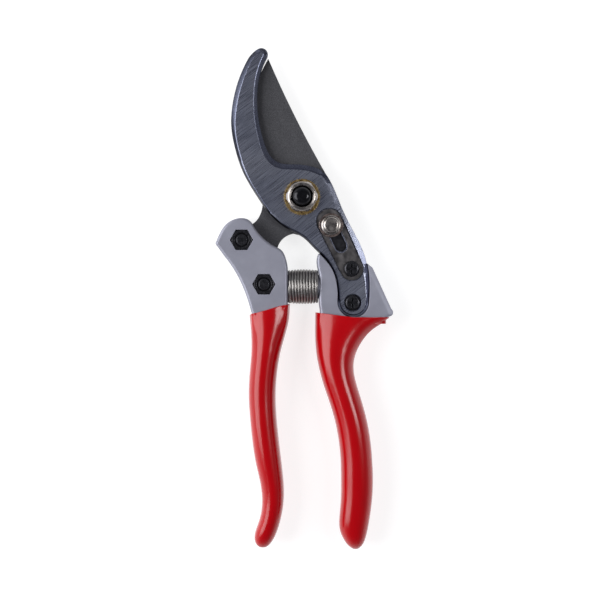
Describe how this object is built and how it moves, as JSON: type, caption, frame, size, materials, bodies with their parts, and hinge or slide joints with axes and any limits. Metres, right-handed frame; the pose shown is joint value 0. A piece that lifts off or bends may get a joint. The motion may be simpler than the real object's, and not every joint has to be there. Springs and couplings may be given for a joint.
{
  "type": "pruning shears",
  "caption": "Bypass pruning shears with a hooked counter-blade, curved blade, coil spring, thumb catch and dipped grips, shown closed.",
  "frame": {"origin": "on the pivot axis, at the back face of the pivot bolt's head, which is the level the shears lie on", "axes": "+Z along the pivot axis towards the nut, +Y towards the tips of the jaws, +X to the right as seen from the nut side"},
  "size_m": [0.0725, 0.2059, 0.0196],
  "materials": {
    "ground_steel": "ground steel plate, fine slanting grinding lines",
    "black_coating": "fine matt black non-stick coating on steel",
    "cast_aluminium": "satin cast aluminium",
    "red_vinyl": "glossy red dipped vinyl",
    "black_steel": "black oxide steel, slightly oily",
    "bright_steel": "bright nickel plate",
    "yellow_zinc": "yellow zinc plate",
    "dark_spring_steel": "dark bronze spring steel, worn"
  },
  "bodies": {
    "hook_side": {"hook_blade": "ground_steel", "hook_handle_frame": "cast_aluminium", "hook_handle_grip": "red_vinyl", "hook_screw_upper": "black_steel", "hook_screw_lower": "black_steel", "pivot_bolt": "black_steel", "pivot_back_washer": "bright_steel", "pivot_lock_washer": "yellow_zinc", "pivot_nut": "bright_steel", "catch_spring_plate": "dark_spring_steel", "return_spring": "bright_steel"},
    "blade_side": {"cutting_blade": "black_coating", "blade_handle_frame": "cast_aluminium", "blade_handle_grip": "red_vinyl", "blade_bolt_upper": "black_steel", "blade_bolt_lower": "black_steel", "blade_nut_upper": "black_steel", "blade_nut_lower": "black_steel"},
    "catch": {"catch_button": "bright_steel", "catch_washer": "bright_steel", "catch_slider": "dark_spring_steel"}
  },
  "joints": [
    {"name": "main_pivot", "type": "hinge", "parent": "hook_side", "child": "blade_side", "pos_m": [0, 0, 0], "axis": [0, 0, -1], "range_deg": [0, 34], "deforming": ["return_spring"]},
    {"name": "catch_slide", "type": "slide", "parent": "hook_side", "child": "catch", "axis": [0.4285, -0.9035, 0], "range_m": [0, 0.0058]}
  ]
}
